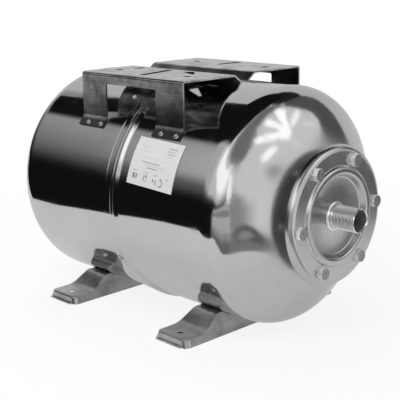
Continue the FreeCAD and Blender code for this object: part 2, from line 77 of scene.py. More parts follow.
class Socket:
    # A node's output, which works as a number in an expression

    def __init__(self, maker, socket):
        self.maker = maker
        self.socket = socket

    def math(self, operation, *others):
        return self.maker.math(operation, self, *others)

    def __add__(self, other):
        return self.math("ADD", other)

    def __radd__(self, other):
        return self.math("ADD", other)

    def __sub__(self, other):
        return self.math("SUBTRACT", other)

    def __rsub__(self, other):
        return self.maker.math("SUBTRACT", other, self)

    def __mul__(self, other):
        return self.math("MULTIPLY", other)

    def __rmul__(self, other):
        return self.math("MULTIPLY", other)

    def __truediv__(self, other):
        return self.math("DIVIDE", other)

    def __rtruediv__(self, other):
        return self.maker.math("DIVIDE", other, self)

    def __abs__(self):
        return self.math("ABSOLUTE")

    def __lt__(self, other):
        return self.math("LESS_THAN", other)

    def __gt__(self, other):
        return self.math("GREATER_THAN", other)


class Nodes:
    # Adds nodes to one tree

    def __init__(self, tree):
        self.tree = tree

    # A node of any kind: its settings come first, then the values or links of its sockets
    def add(self, kind, settings=None, inputs=None, output=0):
        node = self.tree.nodes.new(kind)
        for name, value in (settings or {}).items():
            if name == "stops":
                self.fillRamp(node.color_ramp, value)
            else:
                setattr(node, name, value)
        for name, value in (inputs or {}).items():
            if isinstance(value, Socket):
                self.tree.links.new(value.socket, node.inputs[name])
            else:
                node.inputs[name].default_value = value
        return Socket(self, node.outputs[output]) if node.outputs else node

    def fillRamp(self, ramp, stops):
        while len(ramp.elements) < len(stops):
            ramp.elements.new(0.5)
        for element, (place, level) in zip(ramp.elements, stops):
            element.position = place
            element.color = (level, level, level, 1)

    def math(self, operation, *values):
        return self.add("ShaderNodeMath", {"operation": operation}, dict(enumerate(values)))

    def place(self):
        return self.add("ShaderNodeTexCoord", {}, {}, "Object")

    def normal(self):
        return self.add("ShaderNodeTexCoord", {}, {}, "Normal")

    def split(self, vector):
        first = self.add("ShaderNodeSeparateXYZ", {}, {0: vector})
        return [Socket(self, output) for output in first.socket.node.outputs]

    def join(self, x, y, z):
        return self.add("ShaderNodeCombineXYZ", {}, {0: x, 1: y, 2: z})

    # 0 below low, 1 above high, and smooth between them
    def step(self, value, low, high):
        return self.add("ShaderNodeMapRange", {"interpolation_type": "SMOOTHSTEP"}, {
            0: value, 1: low, 2: high})

    def noise(self, vector, scale, detail=2.0):
        return self.add("ShaderNodeTexNoise", {}, {"Vector": vector, "Scale": scale, "Detail": detail})

    # Noise with a scale of its own along each axis
    def stretched(self, x, y, z, scales, detail):
        return self.noise(self.join(x * scales[0], y * scales[1], z * scales[2]), 1.0, detail)

    def mixGrey(self, factor, low, high):
        greys = [(level, level, level, 1) if isinstance(level, float) else level for level in (low, high)]
        return self.add("ShaderNodeMix", {"data_type": "RGBA"}, {0: factor, 6: greys[0], 7: greys[1]}, 2)

    def bump(self, height):
        return self.add("ShaderNodeBump", {}, {"Strength": 1.0, "Distance": 1.0, "Height": height})


def linked(name, data):
    piece = bpy.data.objects.new(name, data)
    scene.collection.objects.link(piece)
    return piece


def meshPiece(name, corners, edges=(), faces=()):
    mesh = bpy.data.meshes.new(name)
    mesh.from_pydata(corners, edges, faces)
    return linked(name, mesh)


# The camera stands where the photograph was taken from
camera = {
    "place": (0.821783, -0.77868, 0.40465),
    "right": (0.69448, 0.71933, -0.01597),
    "up": (-0.16164, 0.17761, 0.97073),
    "forward": (-0.70112, 0.67158, -0.23963),
    "lens": 84.63,
    "sensor": 36,
    "clip": (0.01, 50),
}


def makeCamera():
    data = bpy.data.cameras.new("camera")
    data.sensor_width = camera["sensor"]
    data.lens = camera["lens"]
    data.clip_start, data.clip_end = camera["clip"]
    eye = linked("camera", data)
    turn = Matrix((camera["right"], camera["up"], [-part for part in camera["forward"]])).transposed()
    eye.matrix_world = Matrix.Translation(camera["place"]) @ turn.to_4x4()
    scene.camera = eye


# Outlines of turned pieces, as (x, radius) in millimetres

def arcPoints(centreX, centreR, radius, start, end, count):
    angles = [start + (end - start) * step / count for step in range(count + 1)]
    return [(centreX + radius * math.cos(angle), centreR + radius * math.sin(angle)) for angle in angles]


def runPoints(start, end, spacing):
    length = math.dist(start, end)
    near = min(0.4, length / 4)  # a point close to each end keeps the bend from tilting the flat
    count = max(1, round(length / spacing))
    places = [near + (length - 2 * near) * step / count for step in range(count + 1)]
    return [tuple(a + (b - a) * place / length for a, b in zip(start, end)) for place in places]


def roundedPoints(corners, bends, spacing=8.0, steps=6):
    points = [corners[0]]
    start = Vector(corners[0])
    for before, corner, after, bend in zip(corners, corners[1:], corners[2:], bends):
        arriving = (Vector(corner) - Vector(before)).normalized()
        leaving = (Vector(after) - Vector(corner)).normalized()
        turn = arriving.angle(leaving)
        if bend <= 0 or turn < 1e-6:
            points += runPoints(start, corner, spacing) + [corner]
            start = Vector(corner)
            continue
        reach = bend * math.tan(turn / 2)
        first = Vector(corner) - arriving * reach
        last = Vector(corner) + leaving * reach
        middle = Vector(corner) + (leaving - arriving).normalized() * (bend / math.cos(turn / 2))
        points += runPoints(start, first, spacing)
        for step in range(steps + 1):
            ray = (first - middle).slerp(last - middle, step / steps)
            points.append(middle + ray.normalized() * bend)
        start = last
    points += runPoints(start, corners[-1], spacing) + [corners[-1]]
    return [tuple(point) for point in points]


def movedAside(corners, distance):
    points = [Vector(corner) for corner in corners]
    lefts = []
    for before, after in zip(points, points[1:]):
        step = (after - before).normalized()
        lefts.append(Vector((-step.y, step.x)))
    moved = [points[0] + lefts[0] * distance]
    for point, left, nextLeft in zip(points[1:], lefts, lefts[1:]):
        middle = (left + nextLeft).normalized()
        moved.append(point + middle * (distance / middle.dot(left)))
    moved.append(points[-1] + lefts[-1] * distance)
    return [tuple(point) for point in moved]


# A tree of geometry nodes. Each row is the kind, the name and the default of an input.
def newTree(name, result, rows):
    tree = bpy.data.node_groups.new(name, "GeometryNodeTree")
    sockets = {}
    for key, (kind, label, default) in rows.items():
        socket = tree.interface.new_socket(label, in_out="INPUT", socket_type="NodeSocket" + kind)
        if default is not None:
            socket.default_value = default
        sockets[key] = socket.identifier
    tree.interface.new_socket(result, in_out="OUTPUT", socket_type="NodeSocketGeometry")
    make = Nodes(tree)
    entry = tree.nodes.new("NodeGroupInput")
    given = {key: Socket(make, entry.outputs[index]) for index, key in enumerate(sockets)}
    return tree, sockets, make, given


def endTree(make, geometry, finish):
    real = make.add("GeometryNodeRealizeInstances", {}, {0: geometry})
    finished = make.add("GeometryNodeSetMaterial", {}, {0: real, "Material": finish})
    make.add("NodeGroupOutput", {}, {0: finished})


# Runs a tree on a piece and keeps the result as a plain mesh
def runTree(piece, tree, sockets, values):
    modifier = piece.modifiers.new(tree.name, "NODES")
    modifier.node_group = tree
    for key, value in values.items():
        modifier[sockets[key]] = value
    graph = bpy.context.evaluated_depsgraph_get()
    made = bpy.data.meshes.new_from_object(piece.evaluated_get(graph))
    piece.modifiers.clear()
    piece.data = made


# Turns an outline about the tank's axis. A thread is cut where the outline is wide enough, and
# flats trim it to a hexagon.
def makeTurningTree():
    tree, sockets, make, given = newTree("turned piece", "Piece", {
        "outline": ("Geometry", "Outline", None),
        "segments": ("Int", "Segments", 96),
        "axis": ("Float", "Axis Height", 0.0),
        "pitch": ("Float", "Thread Pitch", 0.001),
        "depth": ("Float", "Thread Depth", 0.0),
        "start": ("Float", "Thread Start", 0.0),
        "end": ("Float", "Thread End", 1.0),
        "root": ("Float", "Thread Over Radius", 0.0),
        "flats": ("Float", "Across Flats", 10.0),
        "finish": ("Material", "Finish", None),
    })
    size = make.add("GeometryNodeAttributeDomainSize", {}, {0: given["outline"]})
    grid = make.add("GeometryNodeMeshGrid", {}, {
        "Size X": 1.0, "Size Y": 1.0, "Vertices X": given["segments"] + 1, "Vertices Y": size})
    place = make.add("GeometryNodeInputPosition")
    across, along, flat = make.split(place)
    index = make.math("ROUND", (along + 0.5) * (size - 1))
    corner = make.add("GeometryNodeSampleIndex", {"data_type": "FLOAT_VECTOR", "clamp": True}, {
        "Geometry": given["outline"], "Value": place, "Index": index})
    x, unused, radius = make.split(corner)
    angle = (across + 0.5) * (2 * math.pi)
    wave = 0.5 - 0.5 * make.math("COSINE", x / given["pitch"] * (2 * math.pi) - angle)
    inside = make.step(x, given["start"], given["start"] + given["pitch"])
    inside = inside * (1 - make.step(x, given["end"] - given["pitch"], given["end"]))
    inside = inside * (radius > given["root"])
    radius = radius - given["depth"] * wave * inside
    lean = make.math("FLOORED_MODULO", angle, math.pi / 3) - math.pi / 6
    radius = make.math("MINIMUM", radius, given["flats"] / 2 / make.math("COSINE", lean))
    side = 0 - radius * make.math("SINE", angle)
    turned = make.join(x, side, given["axis"] + radius * make.math("COSINE", angle))
    moved = make.add("GeometryNodeSetPosition", {}, {0: grid, "Position": turned})
    closed = make.add("GeometryNodeMergeByDistance", {}, {0: moved, "Distance": mergeDistance})
    endTree(make, closed, given["finish"])
    return tree, sockets


def lineObject(name, points, closed):
    count = len(points)
    edges = [(index, index + 1) for index in range(count - 1)]
    if closed:
        points = points + [points[0]]
        edges.append((count - 1, count))
    return meshPiece(name, [(x * mm, 0, radius * mm) for x, radius in points], edges)


def shade(piece, angle=32):
    piece.data.shade_smooth()
    piece.data.set_sharp_from_angle(angle=math.radians(angle))


def outward(mesh):
    volume = 0.0
    mesh.calc_loop_triangles()
    for triangle in mesh.loop_triangles:
        a, b, c = (mesh.vertices[index].co for index in triangle.vertices)
        volume += a.dot(b.cross(c))
    if volume < 0:
        mesh.flip_normals()


def turnedPiece(name, points, finish, settings, closed=True, smoothBelow=32):
    piece = lineObject(name, points, closed)
    runTree(piece, *turning, {**settings, "finish": finish})
    outward(piece.data)
    shade(piece, smoothBelow)
    return piece


# Finishes. Object coordinates are the frame's own, so patterns follow the tank's axis.

# How far a point is along the outline of a turned piece, and how far it is from the axis
def turnedPlace(make):
    x, y, z = make.split(make.place())
    up = z - axisZ
    radius = make.math("SQRT", y * y + up * up)
    along = abs(x - middleX) - radius
    return along, radius, x, y, up


def newFinish(name):
    material = bpy.data.materials.new(name)
    material.use_nodes = True
    material.node_tree.nodes.clear()
    return material, Nodes(material.node_tree)


def finishWith(make, inputs):
    shader = make.add("ShaderNodeBsdfPrincipled", {}, inputs)
    make.add("ShaderNodeOutputMaterial", {}, {0: shader})


# Steel polished or turned about the tank's axis, with fine rings
polishedLook = {
    "front": {"base": 0.60, "rough": (0.04, 0.09), "rings": 0.55, "ringHeight": 0.000012, "ripple": 0.00007,
              "head": 0.03, "neck": 0.22, "headWave": 0.00004, "crinkle": 0.00016},
    "flange": {"base": 0.56, "rough": (0.17, 0.29), "rings": 0.8, "ringHeight": 0.00003, "ripple": 0.00008},
    "nipple": {"base": 0.86, "rough": (0.17, 0.27), "rings": 0.4, "ringHeight": 0.00001, "ripple": 0.0,
               "grimeAndRootShade": 0.24, "root": 0.0122, "crest": 0.0130, "threadEnd": 0.2505, "boreMatt": 0.08},
    "ring": {"base": 0.42, "rough": (0.3, 0.42), "rings": 0.8, "ringHeight": 0.00002, "ripple": 0.0},
}
# Scales of its patterns: streaks and wrinkles along the outline and round the axis, and clouds
steelPattern = {
    "coarse": (420, 9, 9), "fine": (1700, 26, 26), "cloud": 17.0, "smudge": 55.0, "smudgeFrom": (0.52, 0.72),
    "smudgeRough": 0.045, "ripple": 11.0, "headWave": 42.0, "crinkle": (26, 62, 62),
    "knuckle": (0.106, 0.120), "headBlend": 14, "waveBlend": 20, "neckFrom": 0.098, "neckFull": 0.070,
}


def turnedSteel(name, look):
    material, make = newFinish(name)
    pattern = steelPattern
    along, radius, x, y, up = turnedPlace(make)
    # long streaks round the axis, a few millimetres apart, over finer ones
    coarse = make.stretched(along, y, up, pattern["coarse"], 3.0)
    fine = make.stretched(along, y, up, pattern["fine"], 2.0)
    rings = coarse * 0.6 + fine * 0.4
    place = make.join(x, y, up)
    cloud = make.noise(place, pattern["cloud"], 3.0)
    smudge = make.step(make.noise(place, pattern["smudge"], 4.0), *pattern["smudgeFrom"])
    low, high = look["rough"]
    rough = low + (high - low) * (rings * look["rings"] + cloud * (1 - look["rings"]))
    rough = rough + smudge * pattern["smudgeRough"]
    colour = make.mixGrey(cloud * 0.5 + rings * 0.5 - smudge * 0.1, look["base"] * 0.88, look["base"] * 1.06)
    height = rings * look["ringHeight"] + make.noise(place, pattern["ripple"], 1.0) * look["ripple"]
    metal = 1.0
    if "head" in look:
        # the drawn heads are a little rougher than the wall, and roughest at the neck
        away = abs(x - middleX)
        onHead = make.step(away, tangentX * mm, (tangentX + pattern["headBlend"]) * mm)
        rough = rough + onHead * look["head"]
        rough = rough + make.step(0 - radius, -pattern["neckFrom"], -pattern["neckFull"]) * look["neck"]
        # they are wavy, and the knuckle is slightly wrinkled from drawing
        wavy = make.step(away, tangentX * mm, (tangentX + pattern["waveBlend"]) * mm)
        height = height + make.noise(place, pattern["headWave"], 1.0) * wavy * look["headWave"]
        knuckle = wavy * make.step(radius, *pattern["knuckle"])
        height = height + make.stretched(x, y, up, pattern["crinkle"], 2.0) * knuckle * look["crinkle"]
    if "grimeAndRootShade" in look:
        # grime and painted shade darken the thread's roots, and the bore is clean and matt
        bareOfGrimeAndShade = make.math("MAXIMUM", make.step(radius, look["root"], look["crest"]), x > look["threadEnd"])
        inBore = radius < (port["bore"] + 0.1) * mm
        colour = make.mixGrey(make.math("MAXIMUM", bareOfGrimeAndShade, inBore), look["grimeAndRootShade"], colour)
        metal = 1 - inBore * look["boreMatt"]
    bump = make.bump(height)
    finishWith(make, {"Base Color": colour, "Metallic": metal, "Roughness": rough, "Normal": bump})
    return material


# Rolled sheet and pressings, with a faint grain along the sheet and handling marks. The brackets get painted
# shade on their welded feet and on the cut walls of the openings in their tops, which lie in "openings", in
# metres.
sheetLook = {
    "bracket": {"base": 0.53, "rough": (0.14, 0.27), "grain": (14, 500, 500), "grainHeight": 0.000004,
                "wave": 0.00006, "clouds": 0.55, "shadeFrom": 0.2350, "shadeFull": 0.2325,
                "openings": {"x": 0.079, "yInside": 0.026, "yOutside": 0.097, "above": 0.2861}},
    "foot": {"base": 0.58, "rough": (0.24, 0.38), "grain": (400, 16, 260), "grainHeight": 0.000006,
             "wave": 0.00007, "clouds": 0.25},
}
sheetPattern = {"cloud": 44.0, "smudge": 60.0, "smudgeFrom": (0.5, 0.75), "smudgeRough": 0.08,
                "patches": (0.34, 0.62), "wave": 24.0}


def sheetSteel(name, look):
    material, make = newFinish(name)
    pattern = sheetPattern
    place = make.place()
    x, y, z = make.split(place)
    grain = make.stretched(x, y, z, look["grain"], 3.0)
    cloud = make.noise(place, pattern["cloud"], 4.0)
    smudge = make.step(make.noise(place, pattern["smudge"], 5.0), *pattern["smudgeFrom"])
    low, high = look["rough"]
    rough = low + (high - low) * (cloud * 0.6 + grain * 0.4) + smudge * pattern["smudgeRough"]
    dark, light = look["base"] * (1 - look["clouds"]), look["base"] * 1.1
    patches = make.step(cloud * 0.75 + grain * 0.25, *pattern["patches"])
    colour = make.mixGrey(patches - smudge * 0.2, dark, light)
    if "openings" in look:
        # painted shade: below this height the welded feet are painted nearly black
        feetShade = make.step(0 - z, -look["shadeFrom"], -look["shadeFull"])
        colour = make.mixGrey(feetShade * (0.7 + 0.3 * cloud), colour, 0.05)
        # painted shade: the cut walls of the openings in the top are painted nearly black
        opening = look["openings"]
        upright = 1 - make.step(abs(make.split(make.normal())[2]), 0.3, 0.6)
        inside = (abs(x) < opening["x"]) * (abs(y) < opening["yOutside"]) * (abs(y) > opening["yInside"])
        colour = make.mixGrey(upright * inside * (z > opening["above"]), colour, 0.02)
    bump = make.bump(grain * look["grainHeight"] + make.noise(place, pattern["wave"], 1.0) * look["wave"])
    finishWith(make, {"Base Color": colour, "Metallic": 1.0, "Roughness": rough, "Normal": bump})
    return material


# Screws, brass and the plain hidden pieces: colour, gloss and a small texture
smallLook = {
    # the bolts' "face" is painted shade on their forward ends
    "bolt": {"dark": (0.74, 0.74, 0.73), "light": (0.88, 0.88, 0.87), "metal": 0.5, "rough": (0.22, 0.34),
             "scale": 380.0, "height": 0.00003, "face": 0.28},
    "spotWeld": {"dark": (0.60, 0.60, 0.60), "light": (0.86, 0.86, 0.85), "metal": 1.0, "rough": (0.12, 0.24),
                 "scale": 500.0, "height": 0.00004},
    "boss": {"dark": (0.44, 0.44, 0.43), "light": (0.56, 0.56, 0.55), "metal": 1.0, "rough": (0.26, 0.4),
             "scale": 300.0, "height": 0.00003},
    "brass": {"dark": (0.52, 0.36, 0.14), "light": (0.70, 0.50, 0.22), "metal": 1.0, "rough": (0.2, 0.36),
              "scale": 420.0, "height": 0.00002},
    "core": {"dark": (0.58, 0.42, 0.18), "light": (0.74, 0.56, 0.27), "metal": 1.0, "rough": (0.16, 0.3),
             "scale": 900.0, "height": 0.00001},
    "cap": {"dark": (0.012, 0.012, 0.013), "light": (0.028, 0.028, 0.03), "metal": 0.0, "rough": (0.36, 0.5),
            "scale": 700.0, "height": 0.00003},
    "seal": {"dark": (0.010, 0.010, 0.010), "light": (0.024, 0.024, 0.024), "metal": 0.0,
             "rough": (0.55, 0.75), "scale": 600.0, "height": 0.00004},
    "membrane": {"dark": (0.014, 0.014, 0.014), "light": (0.034, 0.033, 0.032), "metal": 0.0,
                 "rough": (0.5, 0.7), "scale": 130.0, "height": 0.0001},
}


def smallFinish(name, look):
    material, make = newFinish(name)
    place = make.place()
    cloud = make.noise(place, look["scale"] / 6, 3.0)
    grain = make.noise(place, look["scale"], 3.0)
    low, high = look["rough"]
    rough = low + (high - low) * (cloud * 0.5 + grain * 0.5)
    colour = make.mixGrey(cloud, (*look["dark"], 1), (*look["light"], 1))
    if "face" in look:
        # painted shade: the flat ends that point forward are painted darker than the side facets
        colour = make.mixGrey(make.step(make.split(make.normal())[0], 0.6, 0.9), colour, look["face"])
    bump = make.bump(grain * look["height"])
    finishWith(make, {"Base Color": colour, "Metallic": look["metal"], "Roughness": rough, "Normal": bump})
    return material


# The data label is bare film with plain grey bars. Each bar is its middle, length and height in
# millimetres on the label, and how dark it is. Its edges fade inside and outside, and it is broken.
label = {
    "centre": 71.2, "angle": 65.98, "turn": -2.0, "radius": 135.5,
    "film": 0.62, "ink": 0.02, "endFade": (0.3, 0.1), "sideFade": (0.25, 0.15),
    "broken": (1.9, 0.9, 1.0), "brokenFrom": (0.36, 0.62), "clouds": 60.0, "ripple": 0.00008,
    "bars": (
        (-19.5, 17.5, 18.0, 1.0, 0.25), (-19.0, 14.6, 14.0, 0.9, 0.2), (-20.5, 11.8, 17.0, 0.9, 0.22),
        (22.0, 20.0, 14.0, 1.5, 0.6), (21.0, 16.6, 12.0, 1.3, 0.5), (22.5, 13.6, 13.0, 1.3, 0.6),
        (20.0, 10.6, 10.0, 1.0, 0.4), (-2.0, 4.6, 46.0, 0.9, 0.25),
        (-5.0, -0.4, 30.0, 1.3, 0.65), (4.0, -3.2, 34.0, 0.9, 0.4), (-1.0, -6.0, 18.0, 1.4, 0.7),
        (-27.0, -11.0, 7.0, 1.3, 0.55), (-27.5, -17.2, 3.6, 6.0, 0.95), (-23.0, -17.2, 3.0, 5.6, 0.9),
        (-8.5, -11.6, 9.0, 1.1, 0.5), (-10.5, -17.8, 2.2, 6.4, 0.7), (-6.8, -15.6, 3.0, 3.6, 0.85),
        (-6.0, -20.6, 4.0, 1.6, 0.6), (7.0, -12.2, 6.0, 1.4, 0.6), (5.0, -18.0, 2.4, 3.4, 0.9),
        (9.2, -19.6, 2.0, 5.0, 0.95), (17.0, -15.4, 2.6, 3.0, 0.9), (19.6, -19.4, 1.8, 6.4, 0.95),
        (16.8, -22.4, 4.2, 1.6, 0.9), (26.0, -14.0, 4.0, 1.6, 0.6),
    ),
}


def labelFilm():
    material, make = newFinish("label film")
    place = make.place()
    x, y, z = make.split(place)
    angle = make.math("ARCTAN2", 0 - y, z - axisZ) - math.radians(label["angle"])
    across = (x - (label["centre"] + tank["middle"]) * mm) / mm
    down = angle * label["radius"]
    turn = math.radians(label["turn"])
    u = across * math.cos(turn) - down * math.sin(turn)
    v = 0 - (across * math.sin(turn) + down * math.cos(turn))
    endIn, endOut = label["endFade"]
    sideIn, sideOut = label["sideFade"]
    dark = None
    for middle, level, length, height, depth in label["bars"]:
        beside = make.step(abs(u - middle), length / 2 - endIn, length / 2 + endOut)
        over = make.step(abs(v - level), height / 2 - sideIn, height / 2 + sideOut)
        bar = (1 - beside) * (1 - over) * depth
        dark = bar if dark is None else dark + bar
    broken = make.step(make.stretched(u, v, 0.0, label["broken"], 2.0), *label["brokenFrom"])
    cloud = make.noise(place, label["clouds"], 3.0)
    paper = make.mixGrey(cloud, label["film"] * 0.96, label["film"] * 1.03)
    colour = make.mixGrey(dark * (0.45 + 0.55 * broken), paper, label["ink"])
    bump = make.bump(cloud * label["ripple"])
    finishWith(make, {"Base Color": colour, "Roughness": 0.38 + 0.12 * cloud, "Normal": bump})
    return material


# The drawn shell halves. The front half ends in a bell with a groove and a bead, which sleeves
# over the rear half.
bell = {
    "start": -3.4,
    "length": 23.6,
    "play": 0.05,
    "endBend": 3.2,
    "outside": ((1.4, 0.0, 1.0), (2.8, -0.4, 1.5), (10.2, -0.4, 1.5), (11.6, 0.15, 1.0), (12.8, 0.15, 1.0),
                (14.8, -0.45, 1.5), (17.4, 1.15, 1.6), (19.4, 1.15, 1.8)),
    "inside": ((14.6, 0.0, 1.0), (16.8, 1.1, 1.0), (18.9, 1.1, 1.0)),
    "spigot": 14.0,
    "segments": 288,
}
arcSteps = {"knuckle": 18, "shoulder": 20, "crown": 16, "neck": 12}


def inFrame(points):
    return [(x + tank["middle"], radius) for x, radius in points]


# Outlines of the outside have a fineness of 1, and coarser ones of the inside have 2
def headPoints(depth, lastAngle, fineness):
    knuckle = arcPoints(tangentX, tank["radius"] - tank["knuckle"], tank["knuckle"] - depth,
                        math.pi / 2, kneeAngle, arcSteps["knuckle"] // fineness)
    shoulder = arcPoints(shoulderX, shoulderR, tank["shoulder"] - depth,
                         kneeAngle, crownAngle, arcSteps["shoulder"] // fineness)
    top = arcPoints(crownX, 0, crown - depth, crownAngle, lastAngle, arcSteps["crown"] // fineness)
    return knuckle[1:] + shoulder[1:] + top[1:]


def bellPoints(depth, level, rows, fineness):
    wall = tank["radius"] - depth
    corners = [(bell["start"], level)]
    corners += [(bell["start"] + along, level + height) for along, height, bend in rows]
    corners += [(bell["start"] + bell["length"], wall), (tangentX, wall)]
    bends = [bend for along, height, bend in rows] + [bell["endBend"] - depth]
    return roundedPoints(corners, bends, 9.0 * fineness, 5 if fineness == 1 else 2)


def frontShell(finish):
    fillet = tank["neckFillet"]
    filletAngle = math.asin((tank["neck"] + fillet) / (crown + fillet))
    sides = []
    for depth, rows, fineness in ((0, bell["outside"], 1), (tank["wall"], bell["inside"], 2)):
        level = tank["radius"] + bell["play"] + (tank["wall"] if depth == 0 else 0)
        points = bellPoints(depth, level, rows, fineness)
        points += headPoints(depth, filletAngle, fineness)
        points += arcPoints(filletX, tank["neck"] + fillet, fillet + depth,
                            math.pi + filletAngle, 1.5 * math.pi, arcSteps["neck"] // fineness)[1:]
        points.append((neckEndX, tank["neck"] - depth))
        sides.append(points)
    outline = inFrame(sides[0] + sides[1][::-1])
    return turnedPiece("frontHalf", outline, finish, {"segments": bell["segments"], "axis": axisZ})


def rearShell(finish):
    sides = []
    for depth, fineness in ((0, 1), (tank["wall"], 2)):
        wall = tank["radius"] - depth
        end = (-(bell["start"] + bell["spigot"]), wall)
        holeAngle = math.asin(tank["valveHole"] / (crown - depth))
        points = [end] + runPoints(end, (tangentX, wall), 9.0 * fineness) + [(tangentX, wall)]
        sides.append(points + headPoints(depth, holeAngle, fineness))
    outline = [(-x, radius) for x, radius in sides[0] + sides[1][::-1]]
    return turnedPiece("rearHalf", inFrame(outline), finish, {"segments": bell["segments"], "axis": axisZ})


# The pressed counterflange: turned-back rim, raised rib and dished middle
flange = {
    "face": 226.383, "radius": 77.3, "sheet": 3.0, "rimDepth": 7.7, "rimBend": 7.0,
    "ribRadius": 53.5, "ribWidth": 7.0, "ribHeight": 3.3, "ribRise": 1.6, "ribBend": 3.4, "ribFootBend": 1.0,
    "dishDepth": 3.7, "dishSlope": 3.5, "dishBend": 2.0, "bowl": 1.7, "bowlRadius": 27.0, "bowlBend": 110.0,
    "segments": 240,
}
port = {
    "radius": 13.22, "length": 33.6, "bore": 11.4, "stub": 6.0, "chamfer": 0.9, "mouth": 1.2, "weld": 2.8,
    "pitch": 1.814, "threadDepth": 1.16, "threadLength": 30.0, "rowsPerTurn": 12, "segments": 120,
}


def counterflange(finish):
    face = flange["face"]
    dish = face - flange["dishDepth"]
    ribTop = face + flange["ribHeight"]
    inner = flange["ribRadius"] - flange["ribWidth"]
    corners = [
        (face - flange["rimDepth"], flange["radius"]),
        (face, flange["radius"]),
        (face, flange["ribRadius"] + flange["ribRise"]),
        (ribTop, flange["ribRadius"]),
        (ribTop, inner),
        (dish, inner - flange["dishSlope"]),
        (dish - flange["bowl"], flange["bowlRadius"]),
        (dish, port["radius"] + 0.05),
    ]
    bends = [flange["rimBend"], flange["ribFootBend"], flange["ribBend"], flange["ribBend"],
             flange["dishBend"], flange["bowlBend"]]
    convex = (True, False, True, True, False, False)
    sheet = flange["sheet"]
    behind = [bend - sheet if out else bend + sheet for bend, out in zip(bends, convex)]
    outline = roundedPoints(corners, bends, 6.0, 8)
    outline += roundedPoints(movedAside(corners, -sheet), behind, 12.0, 3)[::-1]
    return turnedPiece("flangeDisc", inFrame(outline), finish, {
        "segments": flange["segments"], "axis": axisZ})


def portNipple(finish):
    dish = flange["face"] - flange["dishDepth"]
    end = dish + port["length"]
    start = dish - flange["sheet"] - port["stub"]
    radius, bore = port["radius"], port["bore"]
    weld = arcPoints(dish + port["weld"], radius + port["weld"], port["weld"], math.pi, 1.5 * math.pi, 8)
    threadStart = end - port["threadLength"]
    mouth = end - port["chamfer"]
    steps = round(port["threadLength"] / port["pitch"] * port["rowsPerTurn"])
    body = [(threadStart + (mouth - threadStart) * step / steps, radius) for step in range(steps + 1)]
    outline = [(start, bore), (start, radius), (dish - 0.01, radius)] + weld + body
    outline += [(end - port["chamfer"] / 2, radius - port["chamfer"] / 2), (end, radius - port["chamfer"])]
    outline += [(end, bore + port["mouth"]), (end - port["mouth"], bore), (end - port["mouth"] - 0.3, bore)]
    offset = tank["middle"]
    return turnedPiece("portNipple", inFrame(outline), finish, {
        "segments": port["segments"], "axis": axisZ, "pitch": port["pitch"] * mm,
        "depth": port["threadDepth"] * mm, "start": (threadStart + offset) * mm,
        "end": (end + offset) * mm, "root": (radius - 0.05) * mm}, smoothBelow=60)


# Six hexagon bolts round the counterflange
bolts = {
    "count": 6, "circle": 63.4, "firstAngle": 24.5, "twist": 17.0, "flats": 13.0, "head": 5.3,
    "chamfer": 0.9, "corner": 0.6, "shank": 3.95, "length": 16.0, "segments": 72,
}


def makeRingTree():
    tree, sockets, make, given = newTree("bolt ring", "Bolts", {
        "bolt": ("Geometry", "Bolt", None),
        "count": ("Int", "Count", 6),
        "circle": ("Float", "Circle Radius", 0.06),
        "first": ("Float", "First Angle", 0.0),
        "twist": ("Float", "Twist Each", 0.0),
        "face": ("Float", "Face", 0.0),
        "axis": ("Float", "Axis Height", 0.0),
        "finish": ("Material", "Finish", None),
    })
    index = make.add("GeometryNodeInputIndex")
    angle = given["first"] + index * (2 * math.pi) / given["count"]
    place = make.join(given["face"], given["circle"] * make.math("SINE", angle),
                      given["axis"] + given["circle"] * make.math("COSINE", angle))
    points = make.add("GeometryNodePoints", {}, {"Count": given["count"], "Position": place})
    turn = make.join(index * given["twist"], 0.0, 0.0)
    copies = make.add("GeometryNodeInstanceOnPoints", {}, {
        "Points": points, "Instance": given["bolt"], "Rotation": turn})
    endTree(make, copies, given["finish"])
    return tree, sockets


def flangeBolts(finish):
    crest = bolts["flats"] / math.sqrt(3)
    head, chamfer, corner = bolts["head"], bolts["chamfer"], bolts["corner"]
    outline = [(-bolts["length"], 0.0), (-bolts["length"], bolts["shank"]), (0.0, bolts["shank"]),
               (0.0, crest), (head - chamfer - corner, crest + corner)]
    outline += [(head - chamfer * (1 - part), crest - chamfer * part) for part in (0.0, 0.35, 0.7, 1.0)]
    outline += [(head, 0.0)]
    piece = turnedPiece("flangeBolts", outline, finish, {
        "segments": bolts["segments"], "axis": 0.0, "flats": bolts["flats"] * mm}, False)
    runTree(piece, *makeRingTree(), {
        "count": bolts["count"], "circle": bolts["circle"] * mm, "first": math.radians(bolts["firstAngle"]),
        "twist": math.radians(bolts["twist"]), "face": (flange["face"] + tank["middle"]) * mm,
        "axis": axisZ, "finish": finish})
    shade(piece)
    return piece


# Spot welds on the feet of the pump brackets. Places are along the tank, near side and far side.
# A weld is a dimple with a raised ring, and its rim dips into the sheet.
spotWelds = {
    "near": (-64.0, -41.0, 65.0, 89.5), "far": (-75.0, -52.0, 55.0, 78.0),
    "angle": 51.909, "radius": 137.0, "above": 1.2, "ring": 2.9, "height": 0.45,
    "swell": 0.9, "middle": 0.45, "rim": 0.35, "spread": 1.25, "segments": 32, "rows": 10,
}


